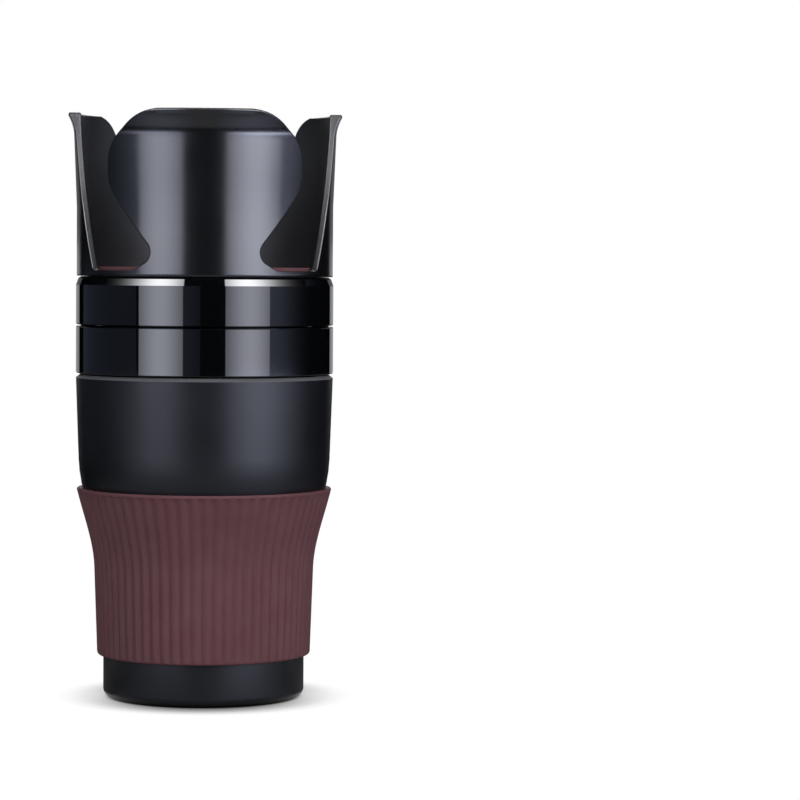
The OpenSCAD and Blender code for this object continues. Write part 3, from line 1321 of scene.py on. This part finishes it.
        return plain_mesh(shape, "petal_holder")

    def level(self, shape: EditMesh, loops: list[list[Point]], z: float) -> list[list[Vert]]:
        """Adds a flat face between an outline and the hole in it.

        Args:
            shape: Mesh so far.
            loops: The outline and the hole.
            z: Height.

        Returns:
            Points of the outline, and of the hole.
        """
        points, faces = fill(loops)
        verts = [shape.verts.new((x * MM, y * MM, (self.base + z) * MM)) for x, y in points]
        for f in faces:
            shape.faces.new([verts[i] for i in f]).material_index = 1
        cut = len(loops[0])
        return [verts[:cut], verts[cut:]]

    def add_floor(self, shape: EditMesh, foot: list[Vert]) -> None:
        """Adds the underside, the floor and the stepped hole for the pivot.

        Args:
            shape: Mesh so far.
            foot: Lowest round of the wall's outside.
        """
        count, floor_r = self.bottom_count, self.inside_r(self.floor)
        rim, floor_rim = (
            [(-x, y) for x, y in circle(radius, 0.0, count)]
            for radius in (self.outer_r - self.bottom_edge, floor_r)
        )
        recess_r = min(self.recess_r, floor_r - self.pivot_y - self.recess_wall)
        recess = circle(recess_r, self.pivot_y, self.hole_count)
        hole = circle(self.hole_r, self.pivot_y, self.hole_count)
        under, under_hole = self.level(shape, [rim, hole], 0.0)
        _, recess_top = self.level(shape, [floor_rim, recess], self.floor)
        recess_low, step_hole = self.level(shape, [recess, hole], self.floor - self.recess_d)
        for low, high in ((under_hole, step_hole), (recess_low, recess_top)):
            for i in range(len(low)):
                n = (i + 1) % len(low)
                shape.faces.new((low[i], low[n], high[n], high[i]))
        for i in range(count):
            below = under[-(i + 1) % count], under[-i % count]
            shape.faces.new((foot[i], foot[i + 1], *below))

    def build(self) -> Piece:
        """Makes the holder and puts it in place of the CAD node.

        Returns:
            The holder.
        """
        mesh = self.build_mesh()
        mesh.materials.append(HOLDER_ABS.build())
        mesh.materials.append(HOLDER_DULL_ABS.build())
        shade(mesh, self.sharp_deg)
        known = mesh.attributes[self.FACING]
        mesh.normals_split_custom_set_from_vertices([tuple(v.vector) for v in known.data])
        mesh.attributes.remove(mesh.attributes[self.FACING])
        made = new_piece("petal_holder", mesh)
        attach(made, "holder_body")
        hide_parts("top_holder")
        return made


@dataclass
class CarriedNodes:
    """CAD nodes whose shape is right: they only get their finish.

    Attributes:
        silicone: Nodes of silicone.
        steel: Nodes of plated steel.
        acetal: Nodes of acetal.
    """

    silicone: tuple[str, ...] = ("holder_pad",)
    steel: tuple[str, ...] = ("pivot_bush", "pivot_screw", "pivot_nut", "lock_washer")
    acetal: tuple[str, ...] = ("lower_slip_washer", "middle_slip_washer", "upper_slip_washer")

    def build(self, nodes: dict[str, Piece]) -> list[Piece]:
        """Dresses the nodes.

        Args:
            nodes: CAD nodes by name.

        Returns:
            The dressed nodes.
        """
        done = []
        for names, finish in (
            (self.silicone, SLEEVE_SILICONE),
            (self.steel, STEEL_ZINC),
            (self.acetal, WASHER_ACETAL),
        ):
            made = finish.build()
            for node in [nodes[name] for name in names]:
                node.data.materials.clear()
                node.data.materials.append(made)
                done.append(node)
        return done


# Light, ground and camera


@dataclass(frozen=True)
class Softbox:
    """Card that only reflections see, bent round the object, brightest at one place.

    Attributes:
        name: Its name.
        turns: Its two ends, in degrees to the right of straight ahead.
        heights: Its lower and upper edge, in metres.
        peak: Radiance at its brightest.
        centre: Where it is brightest, in degrees.
        spread: Degrees over which it falls to about a third.
        colour: Colour of its light, sRGB hex.
        radii: Distance from the axis at its lower and upper edge, in metres.
        bevel_deg: Slope of the ring's bevel whose reflection it follows; its heights then count
            from there. A card at 0 hangs level.
    """

    name: str
    turns: Point
    heights: Point
    peak: float
    centre: float = 0.0
    spread: float = 400.0
    colour: str = "#fbfbff"
    radii: Point = (1.0, 1.0)
    bevel_deg: float = 0.0

    # The upper ring's bevel, in metres, and how much further round than its own place it reflects
    BEVEL_R: ClassVar[float] = 0.045
    BEVEL_Z: ClassVar[float] = 0.1455
    BEVEL_TURN: ClassVar[float] = 2.18
    # Pieces along a card
    STEPS: ClassVar[int] = 32

    def rise(self, turn: float, radius: float) -> float:
        """Height at which the camera sees a card in the ring's bevel.

        Args:
            turn: Direction of the card, in degrees.
            radius: Its distance from the axis.

        Returns:
            Height in metres, or 0 for a level card.
        """
        if not self.bevel_deg:
            return 0.0
        facing = math.radians(turn / self.BEVEL_TURN)
        climb = math.asin(math.sin(math.radians(2 * self.bevel_deg)) * math.cos(facing))
        return self.BEVEL_Z + (radius - self.BEVEL_R) * math.tan(climb)

    def light(self) -> Material:
        """Makes its glow, which falls off to both sides of its brightest place.

        Returns:
            Glowing material.
        """
        made, tree = blank(self.name)
        turn = add(tree, "ShaderNodeAttribute", attribute_name="turn").outputs["Fac"]
        off = add(tree, "ShaderNodeMath", {1: self.centre}, {0: turn}, operation="SUBTRACT")
        share = add(tree, "ShaderNodeMath", {1: self.spread}, {0: off}, operation="DIVIDE")
        square = add(tree, "ShaderNodeMath", links={0: share, 1: share}, operation="MULTIPLY")
        fall = add(tree, "ShaderNodeMath", {0: math.exp(-1)}, {1: square}, operation="POWER")
        power = add(tree, "ShaderNodeMath", {1: self.peak}, {0: fall}, operation="MULTIPLY")
        tone = {"Color": linear(self.colour)}
        lamp = add(tree, "ShaderNodeEmission", tone, {"Strength": power})
        add(tree, "ShaderNodeOutputMaterial", links={"Surface": lamp})
        return made

    def build(self) -> Piece:
        """Bends the card round the object.

        Returns:
            The card, seen by reflections alone.
        """
        steps, (first, last) = self.STEPS, self.turns
        turns = [first + (last - first) * i / steps for i in range(steps + 1)]
        edges = zip(self.radii, self.heights)
        places = [polar(r, math.radians(t), z + self.rise(t, r)) for r, z in edges for t in turns]
        faces = [(i, i + 1, i + steps + 2, i + steps + 1) for i in range(steps)]
        mesh = bpy.data.meshes.new(self.name)
        mesh.from_pydata(places, [], faces)
        mesh.attributes.new("turn", "FLOAT", "POINT").data.foreach_set("value", turns * 2)
        mesh.materials.append(self.light())
        made = new_piece(self.name, mesh)
        made.visible_camera = False
        made.visible_diffuse = False
        made.visible_shadow = False
        made.visible_transmission = False
        return made


@dataclass
class Studio:
    """Plain white studio with black cards and softboxes that only reflections see.

    Attributes:
        ambient: Strength of the sky that lights the object.
        black_turn: How far round the black cards reach; the white behind them draws the outline.
        shadow_reach: Width of the shadow on the floor, in metres.
        shadow_side: Depth of the shadow to the left and right, as a power of the open sky.
        shadow_front: The same in front and behind, where the side lamps don't reach.
        floor_half: Half the width of the floor, in metres.
        lamp_size: Width of a lamp, in metres.
        aim_z: Height that the lamps aim at, in metres.
    """

    ambient: float = 0.42
    black_turn: float = 149.0
    shadow_reach: float = 0.0175
    shadow_side: float = 0.7
    shadow_front: float = 2.7
    floor_half: float = 4.0
    lamp_size: float = 0.9
    aim_z: float = 0.1

    def cards(self) -> None:
        """Sets the softboxes, and the black cards behind and between them."""
        low, middle, top = (0.004, 0.076), (0.076, 0.146), (0.146, 0.55)
        ring, end = (0.0, 0.146), self.black_turn
        cold, cool, blue, white = "#b0c0e0", "#d4dcff", "#dde3ff", "#ebeeff"
        left, right, wide = (-59.3, -18.9), (17.7, 58.3), (17.7, 68.0)
        back, flat, raised = 360 - end, (0.001, 0.001), (0.002, 0.002)
        near, next_to, far = (0.036, 0.1), (0.1, 0.26), (0.26, 0.5)
        edge, edge_r = (0.55, 1.09), (1.06, 1.06)
        band, bevel = (-0.09, 0.09), 19.6
        for box in (
            Softbox("black_wall", (-end, end), (-0.02, 1.1), 0.0, radii=(1.15, 1.15)),
            Softbox("black_roof", (-180, 180), (1.1, 1.12), 0.0, radii=(1.15, 0.02)),
            Softbox("black_ground", (-end, end), flat, 0.0, radii=(0.26, 1.15)),
            Softbox("near_ground", (-70, 70), flat, 0.3, radii=near),
            Softbox("side_ground", (70, 290), flat, 0.17, radii=near),
            Softbox("dim_ground", (-120, 120), flat, 0.4, radii=next_to),
            Softbox("back_ground", (120, 240), flat, 0.08, radii=next_to),
            Softbox("lip_ground", (-12, 12), raised, 0.45, radii=far),
            Softbox("lip_left", (-80, -12), raised, 1.1, -38, 34, blue, far),
            Softbox("lip_right", (12, 80), raised, 1.2, 40, 34, blue, far),
            Softbox("dark_beyond", (end, back), flat, 0.08, radii=(0.26, 1.1)),
            Softbox("dark_behind", (end, back), (0.0, 0.07), 0.08, radii=(1.1, 1.1)),
            Softbox("pale_behind", (end, back), (0.07, 0.165), 0.7, radii=(1.1, 1.1)),
            Softbox("grey_behind", (end, back), (0.165, 1.1), 0.25, radii=(1.12, 1.12)),
            Softbox("glow_behind", (165, 195), (0.45, 1.09), 5.0, radii=(1.1, 1.1)),
            Softbox("glow_over", (165, 195), (1.09, 1.09), 6.0, radii=(0.12, 1.1)),
            Softbox("left_low", (-92, -18.9), low, 8.0, -43.0, 25.0, blue),
            Softbox("left_middle", left, middle, 5.3, -39.5, 21.7, white),
            Softbox("left_top", left, top, 6.9, -39.0, 24.0, white),
            Softbox("right_low", (17.7, 96), low, 20.0, 50.0, 27.0, blue),
            Softbox("right_middle", right, middle, 5.3, 40.0, 21.7, white),
            Softbox("right_top", wide, top, 9.4, 45.0, 27.0, white),
            Softbox("strip_left", (-18.9, -4), ring, 0.24, -18.9, 17.0, cool),
            Softbox("strip_right", (58.3, 104), ring, 0.66, 58.3, 22.0, cool, (1.01, 1.01)),
            Softbox("grey_left", (-136, -62), ring, 0.2, colour=cold, radii=(1.01, 1.01)),
            Softbox("pale_left", (-end, -59.3), top, 0.9, -59.3, 26.0, cold),
            Softbox("pale_right", (68, end), top, 1.9, 68.0, 24.0, cool),
            Softbox("edge_left", (-75, -20.6), edge, 6.5, radii=edge_r),
            Softbox("edge_right", (19.6, 75), edge, 6.5, radii=edge_r),
            Softbox("edge_middle", (-20.6, 19.6), (0.6, 0.84), 4.0, radii=edge_r),
            Softbox("over", (-70, 70), (1.09, 1.09), 2.5, radii=(0.3, 1.05)),
            Softbox("high_left", (-104, -20.6), band, 19.0, -44.0, 24.0, bevel_deg=bevel),
            Softbox("high_right", (19.6, 104), band, 20.0, 42.0, 24.0, bevel_deg=bevel),
        ):
            box.build()

    def lamps(self) -> None:
        """Hangs the three soft lamps that light colours, and no reflection."""
        for name, place, power in (
            ("lamp_left", (-0.5, -1.3, 0.8), 8.2),
            ("lamp_right", (1.0, -1.1, 0.7), 13.2),
            ("lamp_back", (0.0, 1.4, 1.1), 5.0),
        ):
            data = bpy.data.lights.new(name, "AREA")
            data.shape, data.size, data.energy = "SQUARE", self.lamp_size, power
            lamp = bpy.data.objects.new(name, data)
            lamp.location = place
            aim = Vector((0, 0, self.aim_z)) - Vector(place)
            lamp.rotation_euler = aim.to_track_quat("-Z", "Y").to_euler()
            lamp.visible_glossy = False
            bpy.context.scene.collection.objects.link(lamp)

    def seen(self, tree: Tree) -> Node:
        """Tells rays that show the background from rays that light the object.

        Args:
            tree: Node tree of the floor or the sky.

        Returns:
            Node that gives 1 for camera, glossy and transmission rays.
        """
        ray = add(tree, "ShaderNodeLightPath").outputs
        pair = {0: ray["Is Camera Ray"], 1: ray["Is Glossy Ray"]}
        first = add(tree, "ShaderNodeMath", links=pair, operation="MAXIMUM")
        pair = {0: first, 1: ray["Is Transmission Ray"]}
        return add(tree, "ShaderNodeMath", links=pair, operation="MAXIMUM")

    def sky(self) -> None:
        """Makes the sky white to the eye and softer to the object."""
        world = bpy.data.worlds.new("white_studio")
        bpy.context.scene.world = world
        world.use_nodes = True
        tree = world.node_tree
        tree.nodes.clear()
        ends = {"To Min": self.ambient, "To Max": 1.0}
        power = add(tree, "ShaderNodeMapRange", ends, {"Value": self.seen(tree)})
        sky = add(tree, "ShaderNodeBackground", {"Color": (1, 1, 1, 1)}, {"Strength": power})
        add(tree, "ShaderNodeOutputWorld", links={"Surface": sky})

    def floor(self) -> None:
        """Lays a white floor that keeps the object's shadow where the two touch."""
        made, tree = blank("floor_white")
        paint = add(tree, "ShaderNodeBsdfDiffuse", {"Color": (0.8, 0.8, 0.8, 1)})
        reach = {"Distance": self.shadow_reach}
        open_sky = add(tree, "ShaderNodeAmbientOcclusion", reach, samples=16).outputs["AO"]
        place = add(tree, "ShaderNodeTexCoord").outputs["Object"]
        way = add(tree, "ShaderNodeVectorMath", links={0: place}, operation="NORMALIZE")
        ahead = add(tree, "ShaderNodeSeparateXYZ", links={0: way}).outputs["Y"]
        front = add(tree, "ShaderNodeMath", links={0: ahead, 1: ahead}, operation="MULTIPLY")
        ends = {"To Min": self.shadow_side, "To Max": self.shadow_front}
        depth = add(tree, "ShaderNodeMapRange", ends, {"Value": front})
        shadow = add(tree, "ShaderNodeMath", links={0: open_sky, 1: depth}, operation="POWER")
        glow = add(tree, "ShaderNodeEmission", {"Color": (1, 1, 1, 1)}, {"Strength": shadow})
        both = add(tree, "ShaderNodeMixShader", links={0: self.seen(tree), 1: paint, 2: glow})
        add(tree, "ShaderNodeOutputMaterial", links={"Surface": both})
        half = self.floor_half
        mesh = bpy.data.meshes.new("floor")
        square = [(-half, -half, 0), (half, -half, 0), (half, half, 0), (-half, half, 0)]
        mesh.from_pydata(square, [], [(0, 1, 2, 3)])
        mesh.materials.append(made)
        ground = new_piece("floor", mesh)

    def build(self) -> None:
        """Builds the whole studio."""
        self.sky()
        self.floor()
        self.cards()
        self.lamps()


@dataclass
class Viewpoint:
    """Camera at the photograph's place.

    Attributes:
        distance: Distance from the object's axis, in metres.
        height: Height above the ground, in metres.
        focal_px: Focal length in pixels of the frame.
        frame_px: Width of the frame in pixels.
        axis_x: Column of the frame where the object's axis stands.
        horizon_y: Row of the frame where the horizon lies.
        roll_deg: Lean of the whole photograph.
        sensor: Width of the sensor.
    """

    distance: float = 1.11
    height: float = 0.1512
    focal_px: float = 3160.0
    frame_px: float = 800.0
    axis_x: float = 205.3
    horizon_y: float = 266.5
    roll_deg: float = 0.37
    sensor: float = 36.0

    def build(self) -> Piece:
        """Sets up the camera.

        Returns:
            The scene's camera.
        """
        data = bpy.data.cameras.new("camera")
        data.sensor_width = self.sensor
        data.lens = self.sensor * self.focal_px / self.frame_px
        data.clip_start, data.clip_end = 0.05, 20.0
        camera = bpy.data.objects.new("camera", data)
        pan = math.atan((self.frame_px / 2 - self.axis_x) / self.focal_px)
        tilt = math.atan((self.frame_px / 2 - self.horizon_y) / self.focal_px)
        camera.location = (0.0, -self.distance, self.height)
        camera.rotation_euler = (math.pi / 2 - tilt, -math.radians(self.roll_deg), -pan)
        bpy.context.scene.collection.objects.link(camera)
        bpy.context.scene.camera = camera
        return camera


def corners(box: tuple[Vector, Vector]) -> list[list[float]]:
    """Turns a box into plain lists of numbers."""
    return [list(box[0]), list(box[1])]


def main() -> None:
    """Builds the scene in order."""
    logging.basicConfig(level=logging.INFO, format="%(name)s: %(message)s")
    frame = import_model()
    nodes = frame["nodes"]
    bpy.context.scene.view_settings.view_transform = "Standard"

    Viewpoint().build()
    Studio().build()
    made = [BaseCup().build(nodes), GripSleeve().build()]
    made += SwingRings().build(nodes)
    made.append(PetalHolder().build())
    made += CarriedNodes().build(nodes)
    for piece in made:
        log.info("%s: %d faces", piece.name, len(piece.data.polygons))


if __name__ == "__main__":
    main()
